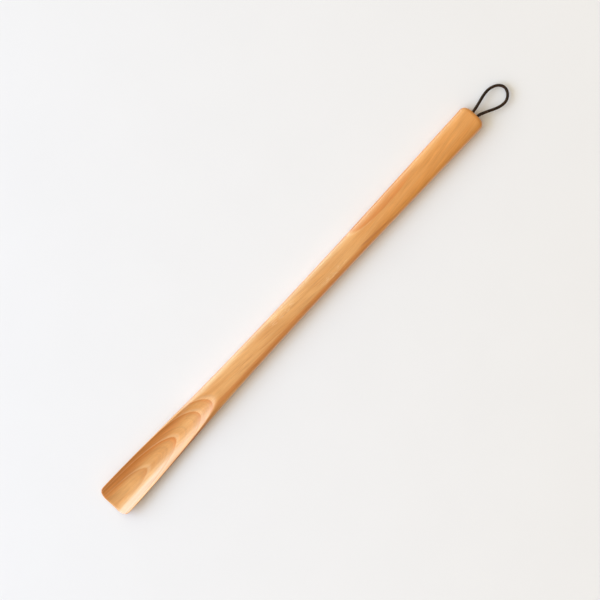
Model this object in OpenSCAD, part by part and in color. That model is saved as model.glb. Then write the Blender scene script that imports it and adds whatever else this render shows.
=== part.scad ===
// Long wooden shoehorn with a leather hanging loop.
// It lies on its back: +X runs from the blade's tip to the butt and the loop, +Z is up, out of
// the scoop, and the origin is the centre of the footprint on the plane the shoehorn rests on.
// Inside the modules s is the distance from the blade's tip and y the distance from the middle.

/* [Wood] */
// Length of the wood from the blade's tip to the butt
wood_l = 600; // [480:10:720]
// Thickness of the shaft and the grip
wood_t = 16.5; // [15:0.5:19]
// Width across the blade just behind its rounded tip
blade_w = 41.2; // [39:0.2:44]
// Width of the shaft where it is narrowest
waist_w = 27.5; // [25:0.1:30]
// Width of the grip at the butt
grip_w = 32.5; // [30:0.1:35]

/* [Blade] */
// Distance over which the blade narrows towards the shaft
flare_l = 153; // [130:1:170]
// Length of the scoop from the tip to where it runs out
scoop_l = 171; // [160:1:190]
// Radius of the scoop across the blade
scoop_r = 30; // [28:0.5:36]
// Thickness of the blade at the middle of its tip
tip_t = 2.5; // [2:0.1:3.5]
// Height of the tip's back above the resting plane
tip_lift = 3.5; // [2:0.1:4]
// Length of the blade's rounded corners
tip_corner_l = 10.2; // [8:0.1:12]

/* [Butt] */
// Length of the butt's corners, seen from above
butt_corner_l = 7.9; // [6:0.1:9]
// Width that each of those corners takes off
butt_corner_w = 8.9; // [6:0.1:9]
// Rounding of the butt's upper and lower edges
butt_edge = 4; // [2:0.1:4]

/* [Cord] */
// Diameter of the round leather cord
cord_d = 3.4; // [3:0.1:3.5]
// Distance between the two holes that hold the cord's ends
hole_gap = 7; // [6.6:0.1:7.4]
// Depth of each hole
hole_l = 25; // [15:1:40]
// Angle at which the loop sags below the horizontal
droop = 6; // [0:1:8]

/* [Hidden] */
$fn = 48;

wood_tone = [0.86, 0.62, 0.36];
leather_tone = [0.14, 0.09, 0.07];
glue_tone = [0.85, 0.72, 0.45];

// Heights in the wood
mid_z = wood_t / 2;
rim_lift = 1.35;             // the blade's widest line lies this far above the shaft's
blade_crown = 2;             // height of the blade's outer skin above its widest line
lift_l = 120;                // length of the blade that rises towards the tip
land_w = 8;                  // flat strip along the underside of the shaft and grip
land_l = 60;                 // length over which that strip widens

// Stretches, measured from the tip, over which the blade's section turns into the shaft's
rim_fade = [100, 185];       // the widest line comes down to the middle of the thickness
crown_fade = [58, 168];      // the outer skin rises to the full thickness
level_fade = [100, 140];     // the crown stops following the widest line
power_fade = [100, 180];     // the round section becomes flat-topped

// Scoop: a shallow floor that turns into a steeper ramp before it runs out
floor_bend = 60;
floor_soft = 15;
floor_slope = 0.085;
ramp_l = 36;
ramp_soft = 5;
ramp_slope = (wood_t - tip_t - floor_slope * (scoop_l - floor_bend)) / ramp(ramp_l, ramp_soft);
rim_soft = 1;                // height over which the rim is softened
scoop_tail = 5;              // the scoop's surface has left the wood this far past scoop_l

// Outline
flare_power = 1.85;
grip_start = wood_l - 215;
grip_soft = 25;
corner_power = 3.1;
corner_fill = 0.97;          // below 1, the corners leave a straight edge between them
edge_blunt = 0.03;

// Section: 2 is an ellipse, and more is squarer
blade_power = 2.1;
shaft_power = 3;
grip_power = 2.8;
butt_face = 0.5;             // the butt's edge rounding leaves this step, so that it ends cleanly

// Loft
tip_steps = 11;
butt_steps = 9;
ring_points = 56;

// Cord
cord_r = cord_d / 2;
hole_r = cord_r + 0.2;
glue_gap = 0.01;             // play that keeps the glue's solid apart from its neighbours
glue_recess = 0.6;           // the glue stops this far below the mouth of the hole
plug_l = 1.2;                // glue between the cord's end and the bottom of the hole
stub_l = 0.8;                // cord that stands straight out of the wood
link_gap = cord_r + 0.25;    // a link stops this far before the next link's pivot

// Points on the cord's centre line: distance from the butt, offset and heading in degrees.
// Each side of the loop runs outwards from the butt, and the sides meet at the far end.
sway_x = 4.1;
flop_x = 11;
curl_x = 21;
side_1 = [[sway_x, 3.9, 8], [flop_x, 5.15, 11], [curl_x, 7.25, 9.5], [29, 8, 0]];
side_2 = [[sway_x, -4.45, -20], [flop_x, -7.6, -26], [curl_x, -12.6, -24], [33, -15.6, 0]];
far_end = [45.8, -4, -90];
cord_sides = 24;
end_steps = 5;
link_steps = 5;
bow_steps = 10;

loop_reach = flop_x + (far_end[0] + cord_r - flop_x) * cos(droop);
overall_l = wood_l + loop_reach;

// ---- small functions ----

function clamp(x) = min(1, max(0, x));
function ease(x) = let (c = clamp(x)) c * c * (3 - 2 * c);
function share(s, span) = ease((s - span[0]) / (span[1] - span[0]));   // 0 to 1 along a stretch
function ramp(x, r) = x > 30 * r ? x : r * ln(1 + exp(x / r));      // 0, then rising with slope 1
function soft_min(a, b, r) = let (h = max(0, r - abs(a - b)) / r) min(a, b) - h * h * r / 4;
function quarter(x) = sqrt(max(0, 1 - x * x));
function round_over(x) = quarter(1 - clamp(x));
function bulge(x, power) = pow(max(0, 1 - pow(min(1, abs(x)), power)), 1 / power);

// ---- the wood's shape ----

// Half-width of the wood with square corners
function blank_w(s) = waist_w / 2
    + (blade_w - waist_w) / 2 * exp(-pow(s / flare_l, flare_power))
    + (grip_w - waist_w) / 2 * ramp(s - grip_start, grip_soft) / (wood_l - grip_start);

function tip_reach(s) = corner_fill * max(0, 1 - s / tip_corner_l);

// How far s is into the last stretch of the wood, from 0 to 1
function butt_reach(s, stretch) = clamp(1 - (wood_l - s) / stretch);

// Half-width of the wood's outline
function half_w(s) = s < tip_corner_l
    ? blank_w(s) * bulge(tip_reach(s), corner_power)
    : blank_w(s) - butt_corner_w * (1 - quarter(butt_reach(s, butt_corner_l)));

function lift(s) = tip_lift * pow(clamp(1 - s / lift_l), 2);
function rim_rise(s) = rim_lift * (1 - share(s, rim_fade));
function power(s) = blade_power
    + (shaft_power - blade_power) * share(s, power_fade)
    + (grip_power - shaft_power) * share(s, [wood_l / 2, wood_l]);

// Height of the widest line, and the section's height above and below it
function waist_z(s) = mid_z + rim_rise(s) + lift(s);
function butt_drop(s) = (butt_edge - butt_face) * (1 - quarter(butt_reach(s, butt_edge)));
function crown_h(s) = blade_crown + (mid_z - blade_crown) * share(s, crown_fade)
    - rim_rise(s) * share(s, level_fade) - butt_drop(s);
function land(s) = land_w / 2 * share(s, [lift_l, lift_l + land_l]);
function keel_h(s) = (waist_z(s) - lift(s)) / bulge(land(s) / blank_w(s), power(s)) - butt_drop(s);

function floor_z(s) = tip_t + lift(s) + floor_slope * ramp(s - floor_bend, floor_soft)
    + ramp_slope * ramp(s - scoop_l + ramp_l, ramp_soft);
function scoop_z(s, y) = floor_z(s) + scoop_r - sqrt(scoop_r * scoop_r - y * y);
function crown_z(s, y) = waist_z(s) + crown_h(s) * bulge(y / blank_w(s), power(s));
function upper_z(s, y) = s > scoop_l + scoop_tail
    ? crown_z(s, y)
    : soft_min(crown_z(s, y), scoop_z(s, y), rim_soft);
function lower_z(s, y) = max(lift(s), waist_z(s) - keel_h(s) * bulge(y / blank_w(s), power(s)));

// Distance from the outline, inside the blade's rounded corners
function corner_depth(s, y) =
    let (
        across = abs(y) / blank_w(s),
        along = tip_reach(s),
        inside = 1 - pow(across, corner_power) - pow(along, corner_power),
        slope_y = corner_power * pow(across, corner_power - 1) / blank_w(s),
        slope_s = corner_power * pow(along, corner_power - 1) * corner_fill / tip_corner_l
    )
    min(s, max(0, inside) / norm([slope_y, slope_s]));

// 0 to 1: the share of the full thickness that is left by the rounded edge of the tip
function tip_edge(s, y) = s >= tip_corner_l ? 1 :
    let (edge_r = (upper_z(s, half_w(s)) - lower_z(s, half_w(s))) / 2 + edge_blunt)
    round_over((corner_depth(s, y) + edge_blunt) / edge_r);

// Point of the section at s: the angle is 0 at +Y and 90 at the top
function section_point(s, angle) =
    let (
        c = cos(angle),
        y = half_w(s) * sign(c) * pow(abs(c), 2 / power(s)),
        y_flat = s > wood_l - butt_corner_l ? y * blank_w(s) / half_w(s) : y,
        top = upper_z(s, y_flat),
        bottom = lower_z(s, y_flat),
        share = tip_edge(s, y) / 2,
        z = (top + bottom) / 2 + (top - bottom) * share * (angle < 180 ? 1 : -1)
    )
    [s, y, angle == 0 || angle == 180 ? (top + bottom) / 2 : z];

tip_stations = [for (i = [0 : tip_steps]) tip_corner_l * (1 - cos(90 * i / tip_steps))];
blade_stations = [for (s = [tip_corner_l + 6 : 6 : scoop_l - 42]) s];
runout_stations = [for (s = [scoop_l - 39 : 3 : scoop_l + 6]) s];
shaft_stations = [for (s = [scoop_l + 18 : 12 : wood_l - butt_corner_l - 3]) s];
butt_stations = [for (i = [0 : butt_steps]) wood_l - butt_corner_l * (1 - sin(90 * i / butt_steps))];
stations = concat(tip_stations, blade_stations, runout_stations, shaft_stations, butt_stations);

// Closed skin through rings of equal length
module skin(rings) {
    n = len(rings[0]);
    last = len(rings) - 1;
    sides = [
        for (r = [0 : last - 1], i = [0 : n - 1])
            let (a = r * n + i, b = r * n + (i + 1) % n)
            each [[a, b + n, b], [a, a + n, b + n]]
    ];
    first_cap = [[for (i = [0 : n - 1]) i]];
    last_cap = [[for (i = [n - 1 : -1 : 0]) last * n + i]];
    polyhedron(points = [for (ring = rings) each ring], faces = concat(sides, first_cap, last_cap));
}

// Moves from the tip's station 0 to the shared frame
module from_tip() {
    translate([-overall_l / 2, 0, 0]) children();
}

// Moves to the middle of the butt's face, with +X out of the wood
module from_butt() {
    from_tip() translate([wood_l, 0, mid_z]) children();
}

module in_both_holes() {
    for (side = [-1, 1])
        translate([0, side * hole_gap / 2, 0]) children();
}

// Rod along X from x0 to x1
module rod(x0, x1, r) {
    translate([x0, 0, 0]) rotate([0, 90, 0]) cylinder(h = x1 - x0, r = r);
}

// ---- the cord's path ----

function spot(p) = [p[0], p[1]];
function unit(heading) = [cos(heading), sin(heading)];
function before(p, gap) = let (q = spot(p) - gap * unit(p[2])) [q[0], q[1], p[2]];
function turned(p) = [p[0], p[1], p[2] + 180];

// Centre line from p to q, keeping both headings: a cubic curve and its slope at t
function handle(p, q) = 0.36 * norm(spot(q) - spot(p));
function along(p, q, t) =
    let (h = handle(p, q), a = spot(p), b = a + h * unit(p[2]), d = spot(q), c = d - h * unit(q[2]))
    pow(1 - t, 3) * a + 3 * pow(1 - t, 2) * t * b + 3 * (1 - t) * t * t * c + t * t * t * d;
function slope(p, q, t) =
    let (h = handle(p, q), a = spot(p), b = a + h * unit(p[2]), d = spot(q), c = d - h * unit(q[2]))
    pow(1 - t, 2) * (b - a) + 2 * (1 - t) * t * (c - b) + t * t * (d - c);
function heading_at(p, q, t) = let (v = slope(p, q, t)) atan2(v[1], v[0]);

// Circle of radius r across the cord at p
function cord_ring(p, r) = [
    for (i = [0 : cord_sides - 1])
        let (turn = 360 * i / cord_sides, side = spot(p) + r * cos(turn) * unit(p[2] + 90))
        [side[0], side[1], r * sin(turn)]
];

// Rings of a half ball: at the start of a link it bulges back from p, at the end ahead of it
function start_ball(p) = [
    for (i = [1 : end_steps - 1])
        let (turn = 90 * i / end_steps)
        cord_ring(before(p, cord_r * cos(turn)), cord_r * sin(turn))
];
function end_ball(p) = [
    for (i = [end_steps - 1 : -1 : 1])
        let (turn = 90 * i / end_steps)
        cord_ring(before(p, -cord_r * cos(turn)), cord_r * sin(turn))
];

function span_rings(p, q, steps) = [
    for (i = [0 : steps - 1])
        let (t = i / steps, c = along(p, q, t))
        cord_ring([c[0], c[1], heading_at(p, q, t)], cord_r)
];

function path_rings(points, steps) = [
    for (i = [0 : len(points) - 2]) each span_rings(points[i], points[i + 1], steps),
    cord_ring(points[len(points) - 1], cord_r)
];

// Link from p to a flat end just before the next link's pivot at q
module link(p, q) {
    skin(concat(start_ball(p), path_rings([p, before(q, link_gap)], link_steps)));
}

// Plane of the sagging part of the loop, which turns about the flop pivot
module sagging() {
    translate([flop_x, 0, 0]) rotate([0, droop, 0]) translate([-flop_x, 0, 0]) children();
}

// ---- sub-parts ----

module carved_body() {
    rings = [for (s = stations) [for (i = [0 : ring_points - 1]) section_point(s, 360 * i / ring_points)]];
    color(wood_tone) difference() {
        from_tip() skin(rings);
        from_butt() in_both_holes() rod(-hole_l, 1, hole_r);
    }
}

module cord_tails() {
    color(leather_tone) from_butt() in_both_holes() rod(plug_l - hole_l, stub_l, cord_r);
}

module cord_glue() {
    color(glue_tone) from_butt() in_both_holes() difference() {
        rod(glue_gap - hole_l, -glue_recess, hole_r - glue_gap);
        rod(plug_l - glue_gap - hole_l, 0, cord_r + glue_gap);
    }
}

module cord_root() {
    color(leather_tone) from_butt()
        for (side = [side_1, side_2])
            link(side[0], side[1]);
}

module cord_neck() {
    color(leather_tone) from_butt() sagging()
        for (side = [side_1, side_2])
            link(side[1], side[2]);
}

module cord_bow() {
    first = side_1[2];
    last = turned(side_2[2]);
    path = [first, side_1[3], far_end, turned(side_2[3]), last];
    color(leather_tone) from_butt() sagging()
        skin(concat(start_ball(first), path_rings(path, bow_steps), end_ball(last)));
}

carved_body();
cord_tails();
cord_glue();
cord_root();
cord_neck();
cord_bow();
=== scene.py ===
"""Long wooden shoehorn with a leather hanging loop: its looks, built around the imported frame.

Shapes are worked out in millimetres, in the frame's axes: s is the distance from the blade's tip
along +X, y the offset from the middle and z the height above the resting plane. They become
metres when a mesh is made. Materials read the same millimetres from object coordinates.
"""

import math

import bmesh
import bpy
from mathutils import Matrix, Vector, noise


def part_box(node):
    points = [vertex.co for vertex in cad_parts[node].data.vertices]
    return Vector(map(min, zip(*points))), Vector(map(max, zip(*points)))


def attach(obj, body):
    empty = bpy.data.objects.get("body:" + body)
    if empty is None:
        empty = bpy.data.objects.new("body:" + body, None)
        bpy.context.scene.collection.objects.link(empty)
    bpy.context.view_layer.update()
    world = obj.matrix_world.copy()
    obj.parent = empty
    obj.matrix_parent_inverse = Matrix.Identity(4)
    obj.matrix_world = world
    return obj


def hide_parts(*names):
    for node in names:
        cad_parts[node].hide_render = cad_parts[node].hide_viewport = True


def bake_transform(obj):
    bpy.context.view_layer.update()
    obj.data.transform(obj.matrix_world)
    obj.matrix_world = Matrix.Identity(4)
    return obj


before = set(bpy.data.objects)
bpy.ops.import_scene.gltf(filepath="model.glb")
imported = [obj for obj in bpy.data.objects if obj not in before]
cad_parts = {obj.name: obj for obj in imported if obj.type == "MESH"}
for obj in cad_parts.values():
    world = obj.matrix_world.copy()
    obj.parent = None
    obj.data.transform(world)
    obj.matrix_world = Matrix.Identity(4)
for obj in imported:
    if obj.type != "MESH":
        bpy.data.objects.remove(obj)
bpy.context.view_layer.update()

MM = 0.001
WOOD_LOW, WOOD_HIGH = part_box("carved_body")
TIP_X = WOOD_LOW.x / MM
BUTT_X = WOOD_HIGH.x / MM
WOOD_L = BUTT_X - TIP_X
WOOD_T = WOOD_HIGH.z / MM
MID_Z = WOOD_T / 2

# ---- the wood's driving dimensions: lengths in millimetres, powers and slopes without a unit ----

# its outline from above
BLADE_W = 41.2
WAIST_W = 27.5
GRIP_W = 32.5
FLARE_L = 153
FLARE_POWER = 1.85
GRIP_START = WOOD_L - 215
GRIP_SOFT = 25
TIP_CORNER_L = 10.2
CORNER_POWER = 3.1
CORNER_FILL = 0.97
BUTT_CORNER_L = 7.9
BUTT_CORNER_W = 8.9

# its sections: how round they are, and how they rise and flatten along the blade
BLADE_POWER = 2.1
SHAFT_POWER = 3.0
GRIP_POWER = 2.8
BLADE_CROWN = 2
RIM_LIFT = 1.35
TIP_LIFT = 3.5
LIFT_L = 120
LAND_W = 8
LAND_L = 60
BUTT_EDGE = 4
BUTT_FACE = 0.5
POWER_FADE = (100, 180)
CROWN_FADE = (58, 168)
RIM_FADE = (100, 185)
LEVEL_FADE = (100, 140)

# the scoop
SCOOP_L = 171
SCOOP_R = 30
SCOOP_TAIL = 5
SCOOP_EDGE = 0.6
TIP_T = 2.5
FLOOR_BEND = 60
FLOOR_SOFT = 15
FLOOR_SLOPE = 0.085
RAMP_L = 36
RAMP_SOFT = 5
RIM_SOFT = 1.0

# the two blind holes in the butt
HOLE_Y = 3.5
HOLE_R = 1.9
HOLE_L = 25
MOUTH_R = 0.3

# hand sanding: the stretch whose upper surface is left uneven, and by how much
SANDED = (4, WOOD_L - 6)
BROAD_WAVE = 0.09
FINE_WAVE = 0.03
UPPER_SIDE = 0.02       # sine of a point's angle in the outline, from which sanding reaches it

# ---- the wood's mesh ----

RING_POINTS = 200
TIP_SECTIONS = 26
BUTT_SECTIONS = 20
BLADE_STEP = 1.4
RUNOUT_STEP = 0.8       # sections lie closest where the scoop runs out
RUNOUT_L = 45
SHAFT_STEP = 2.6
HOLE_SIDES = 48
MOUTH_STEPS = 5
MERGE_DISTANCE = 1e-6   # in metres

# ---- the cord ----

CORD_R = 1.7
CORD_UNEVEN = 0.02      # share of the radius by which the cord is out of round
PLUG_L = 1.2            # glue between the cord's end and the bottom of its hole
STRAIGHT_L = 0.6        # the cord runs straight this far out of the butt
SWAY_X = 4.1
FLOP_X = 11
CURL_X = 21
DROOP = math.radians(6)
SIDE_1 = [(SWAY_X, 3.9, 8), (FLOP_X, 5.15, 11), (CURL_X, 7.25, 9.5), (29, 8, 0)]
SIDE_2 = [(SWAY_X, -4.45, -20), (FLOP_X, -7.6, -26), (CURL_X, -12.6, -24), (33, -15.6, 0)]
FAR_END = (45.8, -4, -90)
CURVE_REACH = 0.36      # how far a curve keeps each heading, as a share of its span
SAG_SOFT = 0.8          # the sag begins over about this length

# the pieces meet at the cuts, and each is given one hinge's zone
CUT_1 = 7.2
CUT_2 = 15.5
SWAY_ZONE = (1.2, 7.0)
FLOP_ZONE = (7.4, 14.6)
CURL_ZONE = (16, 26)

CORD_SIDES = 28
CORD_STEP = 0.5
CUT_TOLERANCE = 1e-6


# ---- small functions ----

def clamp(x):
    return min(1.0, max(0.0, x))


def ease(x):
    c = clamp(x)
    return c * c * (3 - 2 * c)


def share(s, span):
    """0 to 1 along a stretch, eased."""
    return ease((s - span[0]) / (span[1] - span[0]))


def ramp(x, r):
    """0, then rising with slope 1, rounded over about r."""
    return x if x > 30 * r else r * math.log1p(math.exp(x / r))


def soft_min(a, b, r):
    h = max(0.0, r - abs(a - b)) / r
    return min(a, b) - h * h * r / 4


def quarter(x):
    return math.sqrt(max(0.0, 1 - x * x))


def bulge(x, power):
    return max(0.0, 1 - min(1.0, abs(x)) ** power) ** (1 / power)


RAMP_SLOPE = (WOOD_T - TIP_T - FLOOR_SLOPE * (SCOOP_L - FLOOR_BEND)) / ramp(RAMP_L, RAMP_SOFT)


# ---- the wood's shape ----

class Section:
    """The wood's cross-section at distance s from the tip."""

    def __init__(self, s):
        self.s = s
        self.blank_w = (
            WAIST_W / 2
            + (BLADE_W - WAIST_W) / 2 * math.exp(-((s / FLARE_L) ** FLARE_POWER))
            + (GRIP_W - WAIST_W) / 2 * ramp(s - GRIP_START, GRIP_SOFT) / (WOOD_L - GRIP_START)
        )
        self.tip_reach = CORNER_FILL * max(0.0, 1 - s / TIP_CORNER_L)
        corner_reach = clamp(1 - (WOOD_L - s) / BUTT_CORNER_L)
        edge_reach = clamp(1 - (WOOD_L - s) / BUTT_EDGE)
        drop = (BUTT_EDGE - BUTT_FACE) * (1 - quarter(edge_reach))
        if s < TIP_CORNER_L:
            self.half_w = self.blank_w * bulge(self.tip_reach, CORNER_POWER)
        else:
            self.half_w = self.blank_w - BUTT_CORNER_W * (1 - quarter(corner_reach))
        self.power = (
            BLADE_POWER
            + (SHAFT_POWER - BLADE_POWER) * share(s, POWER_FADE)
            + (GRIP_POWER - SHAFT_POWER) * share(s, (WOOD_L / 2, WOOD_L))
        )
        self.lift = TIP_LIFT * clamp(1 - s / LIFT_L) ** 2
        rise = RIM_LIFT * (1 - share(s, RIM_FADE))
        self.waist_z = MID_Z + rise + self.lift
        self.crown_h = (
            BLADE_CROWN + (MID_Z - BLADE_CROWN) * share(s, CROWN_FADE) - rise * share(s, LEVEL_FADE) - drop
        )
        land = LAND_W / 2 * share(s, (LIFT_L, LIFT_L + LAND_L))
        self.keel_h = (self.waist_z - self.lift) / bulge(land / self.blank_w, self.power) - drop
        self.floor_z = (
            TIP_T
            + self.lift
            + FLOOR_SLOPE * ramp(s - FLOOR_BEND, FLOOR_SOFT)
            + RAMP_SLOPE * ramp(s - SCOOP_L + RAMP_L, RAMP_SOFT)
        )
        gap = self.upper_z(self.half_w) - self.lower_z(self.half_w)
        self.edge_r = gap / 2 if s < TIP_CORNER_L else 0.0

    def upper_z(self, y):
        crown = self.waist_z + self.crown_h * bulge(y / self.blank_w, self.power)
        if self.s > SCOOP_L + SCOOP_TAIL:
            return crown
        scoop = self.floor_z + SCOOP_R - math.sqrt(SCOOP_R * SCOOP_R - y * y)
        return soft_min(crown, scoop, RIM_SOFT)

    def lower_z(self, y):
        return max(self.lift, self.waist_z - self.keel_h * bulge(y / self.blank_w, self.power))

    def tip_edge(self, y):
        """Share of the full thickness left by the round edge of the blade's tip."""
        if self.edge_r < 0.01:
            return 1.0
        across = abs(y) / self.blank_w
        inside = 1 - across ** CORNER_POWER - self.tip_reach ** CORNER_POWER
        slope_y = CORNER_POWER * across ** (CORNER_POWER - 1) / self.blank_w
        slope_s = CORNER_POWER * self.tip_reach ** (CORNER_POWER - 1) * CORNER_FILL / TIP_CORNER_L
        depth = min(self.s, max(0.0, inside) / math.hypot(slope_y, slope_s))
        return quarter(1 - clamp(depth / self.edge_r))

    def scooped(self, y):
        """0 on the outer skin, easing to 1 inside the scoop."""
        if self.s > SCOOP_L + SCOOP_TAIL:
            return 0.0
        crown = self.waist_z + self.crown_h * bulge(y / self.blank_w, self.power)
        return ease((crown - self.upper_z(y)) / SCOOP_EDGE)

    def point(self, angle):
        """Point of the outline: the angle is 0 at +Y and a quarter turn at the top."""
        c = math.cos(angle)
        y = math.copysign(self.half_w * abs(c) ** (2 / self.power), c)
        across = y * self.blank_w / self.half_w if self.s > WOOD_L - BUTT_CORNER_L else y
        top = self.upper_z(across)
        bottom = self.lower_z(across)
        middle = (top + bottom) / 2
        if abs(math.sin(angle)) < 1e-9:
            return y, middle
        half = (top - bottom) / 2 * self.tip_edge(y)
        return y, middle + math.copysign(half, math.sin(angle))


def stations():
    """Distances from the tip at which the wood's skin is computed, closer where it curves fast."""
    tip_turns = [math.pi / 2 * i / TIP_SECTIONS for i in range(TIP_SECTIONS)]
    tip = [TIP_CORNER_L * (1 - math.cos(turn)) for turn in tip_turns]
    blade_count = int((SCOOP_L - RUNOUT_L - TIP_CORNER_L) / BLADE_STEP)
    blade = [TIP_CORNER_L + BLADE_STEP * i for i in range(blade_count)]
    runout_count = int((SCOOP_L + SCOOP_TAIL + 1 - blade[-1]) / RUNOUT_STEP)
    runout = [blade[-1] + RUNOUT_STEP * (i + 1) for i in range(runout_count)]
    last_shaft = WOOD_L - BUTT_CORNER_L
    shaft_count = int((last_shaft - runout[-1]) / SHAFT_STEP)
    step = (last_shaft - runout[-1]) / shaft_count
    shaft = [runout[-1] + step * (i + 1) for i in range(shaft_count - 1)]
    butt_turns = [math.pi / 2 * i / BUTT_SECTIONS for i in range(BUTT_SECTIONS + 1)]
    butt = [WOOD_L - BUTT_CORNER_L * (1 - math.sin(turn)) for turn in butt_turns]
    return tip + blade + runout + shaft + butt


def hand_wobble(s, y):
    """Height by which hand sanding left the upper surface uneven."""
    broad = noise.noise(Vector((s / 34, y / 15, 3.7)))
    fine = noise.noise(Vector((s / 12, y / 7, 9.1)))
    return BROAD_WAVE * broad + FINE_WAVE * fine


def new_piece(name, verts, faces):
    """Smooth mesh object from points in millimetres measured in the shared frame."""
    mesh = bpy.data.meshes.new(name)
    mesh.from_pydata([Vector(v) * MM for v in verts], [], faces)
    mesh.validate()
    mesh.shade_smooth()
    piece = bpy.data.objects.new(name, mesh)
    bpy.context.scene.collection.objects.link(piece)
    return piece


def ring_faces(start, count, rings):
    """Quads between rings of count points, the first of which starts at index start."""
    faces = []
    for r in range(rings - 1):
        for i in range(count):
            a = start + r * count + i
            b = start + r * count + (i + 1) % count
            faces.append((a, b, b + count, a + count))
    return faces


def hole_rings(y):
    """Rings of one blind hole, from its softened mouth in the butt to its bottom."""
    rims = []
    for i in range(MOUTH_STEPS + 1):
        turn = math.pi / 2 * i / MOUTH_STEPS
        rims.append((MOUTH_R * (1 - math.cos(turn)), HOLE_R + MOUTH_R * (1 - math.sin(turn))))
    rims.append((HOLE_L, HOLE_R))
    angles = [math.tau * i / HOLE_SIDES for i in range(HOLE_SIDES)]
    return [
        [(BUTT_X - depth, y + r * math.cos(angle), MID_Z + r * math.sin(angle)) for angle in angles]
        for depth, r in rims
    ]


def carve_body():
    """The whole wooden body as one closed mesh, with the two blind holes in its butt."""
    verts, scooped = [], []
    sections = [Section(s) for s in stations()]
    for section in sections:
        for i in range(RING_POINTS):
            angle = math.tau * i / RING_POINTS
            y, z = section.point(angle)
            if math.sin(angle) > UPPER_SIDE and SANDED[0] < section.s < SANDED[1]:
                z += hand_wobble(section.s, y)
            verts.append((TIP_X + section.s, y, z))
            scooped.append(section.scooped(y) if math.sin(angle) > 0 else 0.0)
    faces = ring_faces(0, RING_POINTS, len(sections))
    rim_starts = [((len(sections) - 1) * RING_POINTS, RING_POINTS)]
    for y in (-HOLE_Y, HOLE_Y):
        rings = hole_rings(y)
        start = len(verts)
        for ring in rings:
            verts.extend(ring)
        faces += ring_faces(start, HOLE_SIDES, len(rings))
        bottom = start + (len(rings) - 1) * HOLE_SIDES
        faces.append(tuple(range(bottom, bottom + HOLE_SIDES)))
        rim_starts.append((start, HOLE_SIDES))
    body = new_piece("carved_wood", verts, faces)
    scooped += [0.0] * (len(verts) - len(scooped))
    body.data.attributes.new("scooped", "FLOAT", "POINT").data.foreach_set("value", scooped)

    bm = bmesh.new()
    bm.from_mesh(body.data)
    bm.verts.ensure_lookup_table()
    rims = []
    for start, count in rim_starts:
        for i in range(count):
            rims.append(bm.edges.get((bm.verts[start + i], bm.verts[start + (i + 1) % count])))
    bmesh.ops.triangle_fill(bm, use_beauty=True, use_dissolve=False, edges=rims)
    bmesh.ops.remove_doubles(bm, verts=bm.verts, dist=MERGE_DISTANCE)
    bmesh.ops.recalc_face_normals(bm, faces=bm.faces)
    for face in bm.faces:
        face.smooth = True
    bm.to_mesh(body.data)
    bm.free()
    return body


# ---- the cord's shape ----

def unit(heading):
    return Vector((math.cos(math.radians(heading)), math.sin(math.radians(heading))))


def curve_between(p, q, step):
    """Points of a cubic curve that leaves p and reaches q along their headings; q is left out."""
    a, d = Vector(p[:2]), Vector(q[:2])
    reach = CURVE_REACH * (d - a).length
    b, c = a + reach * unit(p[2]), d - reach * unit(q[2])
    count = max(2, round((d - a).length / step))
    points = []
    for i in range(count):
        t = i / count
        u = 1 - t
        points.append(u ** 3 * a + 3 * u * u * t * b + 3 * u * t * t * c + t ** 3 * d)
    return points


def turned(p):
    return (p[0], p[1], p[2] + 180)


def cord_route():
    """The cord's centre line seen from above: out of one hole, round the loop and into the other."""
    inside = PLUG_L - HOLE_L
    keys = [(inside, HOLE_Y, 0), (STRAIGHT_L, HOLE_Y, 0), *SIDE_1, FAR_END]
    keys += [turned(p) for p in reversed(SIDE_2)]
    keys += [turned((STRAIGHT_L, -HOLE_Y, 0)), turned((inside, -HOLE_Y, 0))]
    route = []
    for p, q in zip(keys, keys[1:]):
        route += curve_between(p, q, CORD_STEP)
    route.append(Vector(keys[-1][:2]))
    return route


def sagged(point):
    """Puts a point of the flat route at its height: level at first, sagging past the flop pivot."""
    past = ramp(point.x - FLOP_X, SAG_SOFT)
    return Vector((
        BUTT_X + point.x - past * (1 - math.cos(DROOP)),
        point.y,
        MID_Z - past * math.sin(DROOP),
    ))


def cord_ring(centre, ahead, along):
    """Points of the cord's skin around one point of its centre line, a little out of round."""
    side = Vector((-ahead.y, ahead.x, 0)).normalized()
    up = ahead.cross(side)
    points = []
    for i in range(CORD_SIDES):
        turn = math.tau * i / CORD_SIDES
        uneven = noise.noise(Vector((along / 3.5, 1.3 * math.cos(turn), 1.3 * math.sin(turn))))
        r = CORD_R * (1 + CORD_UNEVEN * uneven)
        points.append(centre + r * (math.cos(turn) * side + math.sin(turn) * up))
    return points


def cord_stretches(route, near, far):
    """Index ranges of the route that lie between two distances from the butt."""
    inside = [near - CUT_TOLERANCE <= p.x <= far + CUT_TOLERANCE for p in route]
    stretches, start = [], None
    for i, is_in in enumerate(inside + [False]):
        if is_in and start is None:
            start = i
        if not is_in and start is not None:
            stretches.append((start, i - 1))
            start = None
    return stretches


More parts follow.
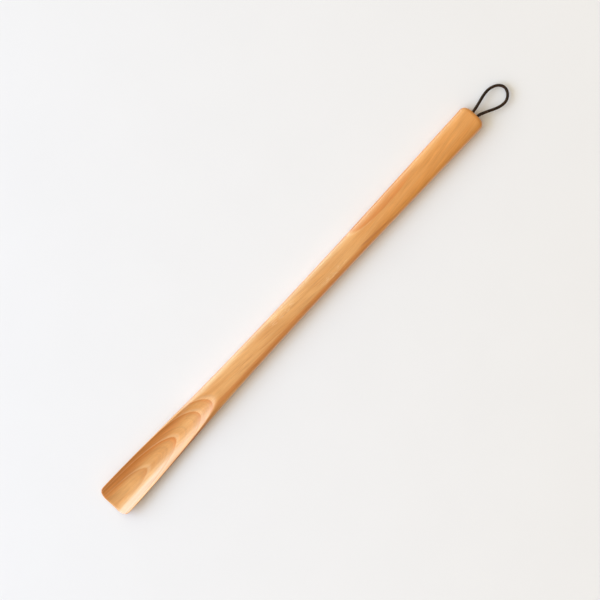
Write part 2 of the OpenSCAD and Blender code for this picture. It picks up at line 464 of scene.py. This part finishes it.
def build_cord(name, route, near, far):
    """One piece of the cord: every stretch of the route between near and far, closed at its ends."""
    line = [sagged(p) for p in route]
    lengths = [0.0]
    for a, b in zip(line, line[1:]):
        lengths.append(lengths[-1] + (b - a).length)
    verts, faces, along_values = [], [], []
    for first, last in cord_stretches(route, near, far):
        start = len(verts)
        for i in range(first, last + 1):
            ahead = (line[min(i + 1, len(line) - 1)] - line[max(i - 1, 0)]).normalized()
            verts.extend(cord_ring(line[i], ahead, lengths[i]))
            along_values += [lengths[i]] * CORD_SIDES
        rings = last - first + 1
        last_ring = start + (rings - 1) * CORD_SIDES
        faces += ring_faces(start, CORD_SIDES, rings)
        faces.append(tuple(reversed(range(start, start + CORD_SIDES))))
        faces.append(tuple(range(last_ring, last_ring + CORD_SIDES)))
    piece = new_piece(name, verts, faces)
    caps = [face for face in piece.data.polygons if len(face.vertices) == CORD_SIDES]
    rims = {key for cap in caps for key in cap.edge_keys}
    for edge in piece.data.edges:
        edge.use_edge_sharp = edge.key in rims      # so that the sides' shading runs on across a cut
    attribute = piece.data.attributes.new("cord_along", "FLOAT", "POINT")
    attribute.data.foreach_set("value", along_values)
    return piece


def snap_route(route, cut):
    """Moves the route's nearest points on to a cut, so that the pieces on both sides share a ring."""
    for i in range(1, len(route) - 1):
        crosses = (route[i].x - cut) * (route[i + 1].x - cut) < 0
        if crosses:
            t = (cut - route[i].x) / (route[i + 1].x - route[i].x)
            nearest = i if t < 0.5 else i + 1
            route[nearest] = route[i].lerp(route[i + 1], t)
            route[nearest].x = cut


# ---- node materials ----

def srgb(red, green, blue):
    """Linear colour of an 8-bit display colour."""
    def linear(v):
        c = v / 255
        return c / 12.92 if c <= 0.04045 else ((c + 0.055) / 1.055) ** 2.4
    return (linear(red), linear(green), linear(blue), 1.0)


MIX_A, MIX_B, MIX_RESULT = 6, 7, 2      # a colour Mix node's sockets, whose names aren't unique


class Field:
    """A number in a shader, so that formulas can be written with + - * and /."""

    def __init__(self, shader, socket):
        self.shader = shader
        self.socket = socket

    def __add__(self, other):
        return self.shader.math("ADD", self, other)

    def __radd__(self, other):
        return self.shader.math("ADD", other, self)

    def __sub__(self, other):
        return self.shader.math("SUBTRACT", self, other)

    def __rsub__(self, other):
        return self.shader.math("SUBTRACT", other, self)

    def __mul__(self, other):
        return self.shader.math("MULTIPLY", self, other)

    def __rmul__(self, other):
        return self.shader.math("MULTIPLY", other, self)

    def __truediv__(self, other):
        return self.shader.math("DIVIDE", self, other)


class Shader:
    """A node material under construction."""

    def __init__(self, name):
        self.material = bpy.data.materials.new(name)
        self.material.use_nodes = True
        self.nodes = self.material.node_tree.nodes
        self.links = self.material.node_tree.links
        self.surface = self.nodes["Principled BSDF"]

    def plug(self, value, socket):
        if isinstance(value, Field):
            value = value.socket
        if isinstance(value, bpy.types.NodeSocket):
            self.links.new(value, socket)
        else:
            socket.default_value = value

    def set(self, **inputs):
        """Sets inputs of the surface: base_color becomes Base Color."""
        for name, value in inputs.items():
            self.plug(value, self.surface.inputs[name.replace("_", " ").title().replace("Ior", "IOR")])

    def math(self, operation, *values):
        node = self.nodes.new("ShaderNodeMath")
        node.operation = operation
        for value, socket in zip(values, node.inputs):
            self.plug(value, socket)
        return Field(self, node.outputs[0])

    def millimetres(self):
        """The s, y and z of the point being shaded."""
        coordinates = self.nodes.new("ShaderNodeTexCoord")
        split = self.nodes.new("ShaderNodeSeparateXYZ")
        self.links.new(coordinates.outputs["Object"], split.inputs[0])
        x, y, z = (Field(self, split.outputs[i]) / MM for i in range(3))
        return x - TIP_X, y, z

    def attribute(self, name):
        node = self.nodes.new("ShaderNodeAttribute")
        node.attribute_name = name
        return Field(self, node.outputs["Fac"])

    def noise(self, x, y, z, detail=2.0, roughness=0.5, distortion=0.0):
        """Smooth noise from 0 to 1, about 0.5 on average."""
        place = self.nodes.new("ShaderNodeCombineXYZ")
        for value, socket in zip((x, y, z), place.inputs):
            self.plug(value, socket)
        node = self.nodes.new("ShaderNodeTexNoise")
        node.inputs["Scale"].default_value = 1.0
        node.inputs["Detail"].default_value = detail
        node.inputs["Roughness"].default_value = roughness
        node.inputs["Distortion"].default_value = distortion
        self.links.new(place.outputs[0], node.inputs["Vector"])
        return Field(self, node.outputs["Fac"])

    def ease(self, value, low, high, start=0.0, end=1.0):
        """Eases from start to end as value goes from low to high."""
        node = self.nodes.new("ShaderNodeMapRange")
        node.interpolation_type = "SMOOTHSTEP"
        for item, socket in zip((value, low, high, start, end), node.inputs):
            self.plug(item, socket)
        return Field(self, node.outputs[0])

    def fade(self, value, low, high):
        """1, easing to 0 as value goes from low to high."""
        return self.ease(value, low, high, 1.0, 0.0)

    def soft_ramp(self, value, r):
        """0, then rising with slope 1, rounded over about r."""
        return self.math("LOGARITHM", self.math("EXPONENT", value / r) + 1, math.e) * r

    def mix(self, share, a, b):
        """Colour a with a share of colour b in it."""
        node = self.nodes.new("ShaderNodeMix")
        node.data_type = "RGBA"
        self.plug(share, node.inputs["Factor"])
        self.plug(a, node.inputs[MIX_A])
        self.plug(b, node.inputs[MIX_B])
        return node.outputs[MIX_RESULT]

    def brighten(self, colour, factor):
        """Multiplies a colour by a number."""
        node = self.nodes.new("ShaderNodeVectorMath")
        node.operation = "SCALE"
        self.plug(colour, node.inputs[0])
        self.plug(factor, node.inputs["Scale"])
        return node.outputs[0]

    def bump(self, height, distance):
        """Tilts the surface as a relief of the given height in metres would."""
        node = self.nodes.new("ShaderNodeBump")
        node.inputs["Distance"].default_value = distance
        self.plug(height, node.inputs["Height"])
        self.links.new(node.outputs[0], self.surface.inputs["Normal"])


# ---- wood ----

TAN = srgb(220, 161, 93)
AMBER = srgb(208, 143, 73)
PALE = srgb(238, 196, 148)
BLUSH = srgb(244, 202, 176)
ORANGE = srgb(200, 118, 50)
HONEY = srgb(214, 138, 54)
OCHRE = srgb(206, 122, 44)
BROWN = srgb(164, 92, 44)

# Growth layers met by the scoop: level of the boundary, width of the pale early wood past it,
# width of the late wood that darkens up to it, and how dark that gets.
LAYERS = [
    (8.2, 0.7, 1.0, 0.45),
    (13.7, 1.1, 1.8, 1.0),
    (20.8, 1.6, 2.4, 0.7),
    (26.0, 2.4, 2.4, 0.75),
]


class Wood(Shader):
    """The wood's shader: the fields that its marks share, and the colour as built up so far."""

    def __init__(self, name):
        super().__init__(name)
        self.s, self.y, self.z = self.millimetres()
        # fibres run down to the right along the shaft and turn up again in the grip
        drift = 0.188 * self.soft_ramp(self.s - 400, 25) - 0.098 * self.s
        self.across = self.y - drift
        self.streaks = self.fibre_noise(26, 1.1, 1.1, detail=3, roughness=0.6)
        self.inner = self.attribute("scooped")
        broad = self.fibre_noise(60, 6, 6)
        self.colour = self.mix(self.ease(broad, 0.3, 0.7), AMBER, TAN)

    def fibre_noise(self, length, width, depth, **options):
        """Noise along the fibres, whose grain is about this long, wide and deep."""
        return self.noise(self.s / length, self.across / width, self.z / depth, **options)

    def stain(self, share, colour):
        """Mixes a share of another colour into the wood's."""
        self.colour = self.mix(share, self.colour, colour)

    def patch(self, centre, reach):
        """1 inside an ellipse seen from above, easing to 0 at its edge."""
        u = (self.s - centre[0]) / reach[0]
        v = (self.y - centre[1]) / reach[1]
        return self.fade(u * u + v * v, 0.5, 1.0)


def shade_flanks_redden_grip(wood):
    """Redder and darker on the scoop's left wall, partly its grain and partly painted shade where it faces
    away from the light; painted shade down the right flank; and redder in the grip.
    """
    s, y = wood.s, wood.y
    grain_and_shade_left_wall = wood.ease(y, 3, 11) * wood.fade(s, 110, 150) * wood.inner
    shaded_right_flank = wood.ease(y, -14, -12) * wood.fade(y, -9, -7)
    shaded_right_flank = shaded_right_flank * wood.ease(s, 145, 170) * wood.fade(s, 400, 450)
    # painted shade in orange: on the left wall mixed with the grain's own colour, on the right flank shade
    # alone
    wood.stain(0.6 * grain_and_shade_left_wall + 0.55 * shaded_right_flank, ORANGE)
    wood.stain(wood.ease(s, 370, 450, 0.0, 0.5), HONEY)


def paint_right_wall_light(wood):
    """Painted highlight along the scoop's right wall, which faces the light, and painted shade on the outer
    skin beside it.
    """
    s, y = wood.s, wood.y
    from_edge = y + 21.1 - 0.0315 * s
    lit_wall_highlight = wood.fade(y, -13, -9) * wood.ease(from_edge, 0.8, 3.5, 0.15, 1.0)
    lit_wall_highlight = lit_wall_highlight * wood.fade(s, 40, 140) * wood.inner
    # painted highlight where the right wall faces the light
    wood.stain(0.6 * lit_wall_highlight, BLUSH)
    shaded_skin = wood.fade(y, -12, -9) * wood.ease(s, 8, 40) * wood.fade(s, 120, 170)
    # painted shade in brown on the outer skin below the rim
    wood.stain(0.8 * shaded_skin * (1 - wood.inner), BROWN)


def cut_growth_layers(wood):
    """Growth layers, nearly level, cut by the scoop into nested arches.

    Returns the fine light and dark rings between them, about 0 on average.
    """
    s, y, z = wood.s, wood.y, wood.z
    sway = wood.noise(s / 80, y / 22, z / 22, detail=1.5)
    level = z + 0.07 * s + 0.065 * y + 0.006 * y * y
    near_tip = 0.034 * wood.ease(y, 0, 11) * wood.ease(y, 12, 18, 1.0, 0.5)
    level = level - wood.soft_ramp(60 - s, 4) * near_tip
    level = level + 1.0 * (sway - 0.5) + 0.35 * (wood.streaks - 0.5)
    clear = (0.12 + 0.88 * wood.inner) * wood.ease(y, -10, -2, 0.45, 1.0)
    for edge, pale_w, dark_w, darkness in LAYERS:
        past = level - edge
        late = wood.ease(past, -dark_w, -0.1) * wood.fade(past, -0.12, 0.1)
        early = wood.ease(past, -0.06, 0.16) * wood.fade(past, 0.3 * pale_w, pale_w)
        wood.stain(late * late * clear * darkness, OCHRE)
        wood.stain(early * clear * 0.32, PALE)
    rings = wood.noise(1.7 * level, s / 90, y / 60, detail=2, roughness=0.6)
    return clear * wood.inner * (rings - 0.5)


def paint_edge_light(wood):
    """Painted reflection of the floor where the right side turns down, and painted light towards the lit
    left edge.
    """
    s, y, z = wood.s, wood.y, wood.z
    floor_reflection = wood.fade(y, -8, -6) * wood.fade(z, 12, 14.2) * wood.ease(s, 190, 260)
    # painted reflection of the pale floor on the lower right side
    wood.stain(0.4 * floor_reflection, BLUSH)
    lit_left_edge = wood.ease(y, 11, 13.2) * wood.ease(s, 125, 150)
    low = wood.fade(z, 10, 14) * wood.ease(s, 400, 425, 0.53, 0.22)
    # painted light on the left edge, which faces the light, stronger on its lower part
    wood.stain(lit_left_edge * (low + wood.ease(s, 400, 425, 0.11, 0.0)), BLUSH)


def mark_grip(wood):
    """An orange layer cut by the grip's left flank, and a brown line that slants off its right."""
    s, y = wood.s, wood.y
    top = wood.ease(wood.z, 6, 10)
    u = (s - 458) / 52
    v = (y - 11.8) / 8.8
    inside = u * u + v * v + 0.25 * (wood.streaks - 0.5)
    layer = wood.fade(inside, 0.8, 1.05) * wood.ease(s, 480, 508, 1.0, 0.2) * wood.ease(y, 11, 15, 1.0, 0.4)
    wood.stain(layer * top * (0.5 + 0.4 * wood.ease(inside, 0.2, 0.9)), OCHRE)
    rim = wood.ease(inside, 0.98, 1.06) * wood.fade(inside, 1.1, 1.25)
    wood.stain(rim * top * wood.ease(s, 425, 450, 0.2, 0.0), PALE)

    past = -6.8 - 0.087 * (s - 410) - y + 1.2 * (wood.streaks - 0.5)
    line = wood.ease(past, -0.6, 0.5) * wood.fade(past, 0.8, 3.6)
    line = line * wood.ease(s, 398, 410) * wood.fade(s, 430, 480) * top
    wood.stain(line * 0.45, BROWN)


def mark_shaft(wood):
    """Dark streaks, and light dashes along the fibres: painted sheen in two glinting patches."""
    shaft = wood.ease(wood.s, 180, 220) * wood.ease(wood.s, 330, 420, 1.0, 0.25)
    lines = wood.ease(wood.fibre_noise(30, 0.9, 2), 0.54, 0.68)
    wood.stain(lines * shaft * 0.32, BROWN)
    dashes = wood.ease(wood.fibre_noise(6, 0.8, 2, detail=1), 0.5, 0.66)
    glints = wood.patch((289, 6), (24, 4.5)) + wood.patch((362, -5.5), (24, 3.5))
    # painted sheen: pale fibre dashes only inside the two glint patches
    wood.stain(dashes * glints * 0.45, PALE)


def wood_material():
    """Oiled orange-tan hardwood: growth layers cut by the scoop, slanting fibres, pores and sheen, with
    painted light and shade on its walls and flanks.
    """
    wood = Wood("oiled_hardwood")
    shade_flanks_redden_grip(wood)
    paint_right_wall_light(wood)
    rings = cut_growth_layers(wood)
    paint_edge_light(wood)
    mark_grip(wood)
    mark_shaft(wood)

    grip = wood.ease(wood.s, 380, 470)
    wisps = wood.fibre_noise(30, 2.4, 3, distortion=0.4)
    fibres = wood.fibre_noise(10, 0.4, 0.4)
    tone = 1 + 0.26 * (wood.streaks - 0.5) + 0.16 * (fibres - 0.5) + (0.22 + 0.14 * grip) * (wisps - 0.5)
    wood.colour = wood.brighten(wood.colour, tone + 0.5 * rings)
    pores = wood.fibre_noise(3.2, 0.25, 0.25, detail=1)
    wood.stain(wood.ease(pores, 0.66, 0.74) * 0.22, BROWN)

    wood.set(base_color=wood.colour, roughness=0.34 + 0.1 * (wood.streaks - 0.5), ior=1.5)
    wood.set(coat_weight=wood.ease(wood.s, 400, 560, 0.5, 0.15), coat_roughness=0.28)
    wood.bump(wood.streaks + 0.6 * fibres, 0.00003)
    return wood.material


# ---- leather, glue and floor ----

def leather_material():
    """Dark brown round leather cord: fine cracks across it, a waxed sheen and worn high spots."""
    leather = Shader("waxed_leather_cord")
    s, y, z = leather.millimetres()
    along = leather.attribute("cord_along")
    grain = leather.noise(s / 0.35, y / 0.35, z / 0.35, detail=3)
    creases = leather.noise(along / 0.5, y / 2.5, z / 2.5, detail=2, roughness=0.7)
    wear = leather.noise(s / 5, y / 5, z / 5, detail=2)
    dark = srgb(28, 17, 11)
    worn = srgb(54, 34, 22)
    colour = leather.mix(leather.ease(wear + 0.4 * (creases - 0.5), 0.45, 0.75), dark, worn)
    leather.set(base_color=colour, roughness=0.6 + 0.2 * (grain - 0.5), ior=1.36)
    leather.set(specular_tint=(1.0, 0.72, 0.52, 1))
    leather.bump(0.6 * grain + creases, 0.00012)
    return leather.material


def glue_material():
    """Set amber glue, slightly cloudy."""
    glue = Shader("amber_glue")
    s, y, z = glue.millimetres()
    cloud = glue.noise(s / 1.5, y / 0.8, z / 0.8, detail=2)
    colour = glue.mix(cloud, srgb(176, 128, 62), srgb(206, 168, 104))
    glue.set(base_color=colour, roughness=0.3)
    glue.bump(cloud, 0.00005)
    return glue.material


def floor_material():
    """Matt off-white painted board with a very faint relief."""
    floor = Shader("pale_board")
    s, y, z = floor.millimetres()
    broad = floor.noise(s / 90, y / 90, z, detail=3)
    fine = floor.noise(s / 2.5, y / 2.5, z, detail=3)
    colour = floor.mix(broad, srgb(229, 229, 229), srgb(232, 232, 232))
    floor.set(base_color=colour, roughness=0.75)
    floor.bump(fine + broad, 0.00004)
    return floor.material


# ---- the object ----

def build_object():
    wood = wood_material()
    leather = leather_material()

    body = carve_body()
    body.data.materials.append(wood)
    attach(body, "handle")
    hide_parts("carved_body")

    route = cord_route()
    snap_route(route, CUT_1)
    snap_route(route, CUT_2)
    spans = [
        ("cord_at_butt", -HOLE_L, CUT_1, "handle", "loop_root", SWAY_ZONE, ["cord_tails", "cord_root"]),
        ("cord_sides", CUT_1, CUT_2, "loop_root", "loop_neck", FLOP_ZONE, ["cord_neck"]),
        ("cord_loop", CUT_2, FAR_END[0] + 1, "loop_neck", "loop_bow", CURL_ZONE, ["cord_bow"]),
    ]
    for name, near, far, body_a, body_b, zone, stood_for in spans:
        piece = build_cord(name, route, near, far)
        piece.data.materials.append(leather)
        start, end = (sagged(Vector((x, 0))) * MM for x in zone)
        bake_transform(piece)
        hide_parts(*stood_for)

    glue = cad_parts["cord_glue"]
    glue.data.materials.clear()
    glue.data.materials.append(glue_material())


# ---- the stage ----

# in metres
VIEW_CENTRE = Vector((-0.01046, 0.00176, 0.0095))
VIEW_WIDTH = 0.6746
LIGHT_DISTANCE = 4
FLOOR_REACH = 12
SIGHT = 20              # the camera sees no further

CAMERA_TURN = math.radians(-47.06)      # about the vertical
LENS = 135

ROOM_TILT = math.radians(55)            # the room is brightest this far from straight up, to the left
ROOM_DARK = (0.36, 0.26, 0.19, 1)
ROOM_BRIGHT = (1.70, 1.60, 1.29, 1)
BACKDROP = (0.88, 0.88, 0.87, 1)


def add_floor():
    mesh = bpy.data.meshes.new("floor")
    corners = [(-1, -1), (1, -1), (1, 1), (-1, 1)]
    mesh.from_pydata([(x * FLOOR_REACH, y * FLOOR_REACH, 0) for x, y in corners], [], [(0, 1, 2, 3)])
    floor = bpy.data.objects.new("floor", mesh)
    floor.data.materials.append(floor_material())
    bpy.context.scene.collection.objects.link(floor)


def add_light(name, azimuth, elevation, width, height, energy, colour):
    """Area light of a size in metres and an energy in watts, facing the view's centre.

    Both angles are in degrees, and the azimuth is measured from +Y towards the blade's tip.
    """
    data = bpy.data.lights.new(name, "AREA")
    data.shape = "RECTANGLE"
    data.size = width
    data.size_y = height
    data.energy = energy
    data.color = colour
    light = bpy.data.objects.new(name, data)
    turn, rise = math.radians(90 + azimuth), math.radians(elevation)
    direction = Vector((math.cos(turn) * math.cos(rise), math.sin(turn) * math.cos(rise), math.sin(rise)))
    light.location = VIEW_CENTRE + LIGHT_DISTANCE * direction
    light.rotation_euler = direction.to_track_quat("Z", "Y").to_euler()
    light.visible_camera = False
    bpy.context.scene.collection.objects.link(light)
    return light


def add_lights():
    """A cool window on the left, and two lights that only gleam on the wood and the cord."""
    add_light("window", 53, 34, 4.0, 2.6, 144, (0.40, 0.60, 1.0))
    low_gleam = add_light("low_gleam", 0, 12, 1.8, 1.3, 57, (0.58, 0.96, 1.0))
    high_gleam = add_light("high_gleam", 10, 45, 1.8, 1.3, 28, (0.49, 1.0, 0.83))
    for gleam in (low_gleam, high_gleam):
        gleam.visible_diffuse = False


def add_room():
    """Warm light from all round, darker on the right. The camera sees a plain backdrop instead."""
    world = bpy.data.worlds.new("room")
    world.use_nodes = True
    nodes, links = world.node_tree.nodes, world.node_tree.links

    direction = nodes.new("ShaderNodeTexCoord")
    toward = nodes.new("ShaderNodeVectorMath")
    toward.operation = "DOT_PRODUCT"
    left = Vector((-math.cos(CAMERA_TURN), -math.sin(CAMERA_TURN), 0))
    toward.inputs[1].default_value = math.sin(ROOM_TILT) * left + math.cos(ROOM_TILT) * Vector((0, 0, 1))
    links.new(direction.outputs["Generated"], toward.inputs[0])

    colour = nodes.new("ShaderNodeMix")
    colour.data_type = "RGBA"
    colour.clamp_factor = True
    colour.inputs[MIX_A].default_value = ROOM_DARK
    colour.inputs[MIX_B].default_value = ROOM_BRIGHT
    links.new(toward.outputs["Value"], colour.inputs["Factor"])

    seen = nodes.new("ShaderNodeMix")
    seen.data_type = "RGBA"
    seen.inputs[MIX_B].default_value = BACKDROP
    links.new(nodes.new("ShaderNodeLightPath").outputs["Is Camera Ray"], seen.inputs["Factor"])
    links.new(colour.outputs[MIX_RESULT], seen.inputs[MIX_A])
    links.new(seen.outputs[MIX_RESULT], nodes["Background"].inputs["Color"])
    bpy.context.scene.world = world


def add_camera():
    data = bpy.data.cameras.new("camera")
    data.lens = LENS
    data.clip_end = SIGHT
    camera = bpy.data.objects.new("camera", data)
    distance = VIEW_WIDTH * data.lens / data.sensor_width
    camera.location = VIEW_CENTRE + Vector((0, 0, distance))
    camera.rotation_euler = (0, 0, CAMERA_TURN)
    bpy.context.scene.collection.objects.link(camera)
    bpy.context.scene.camera = camera


build_object()
add_floor()
add_lights()
add_room()
add_camera()
bpy.context.scene.view_settings.view_transform = "Standard"
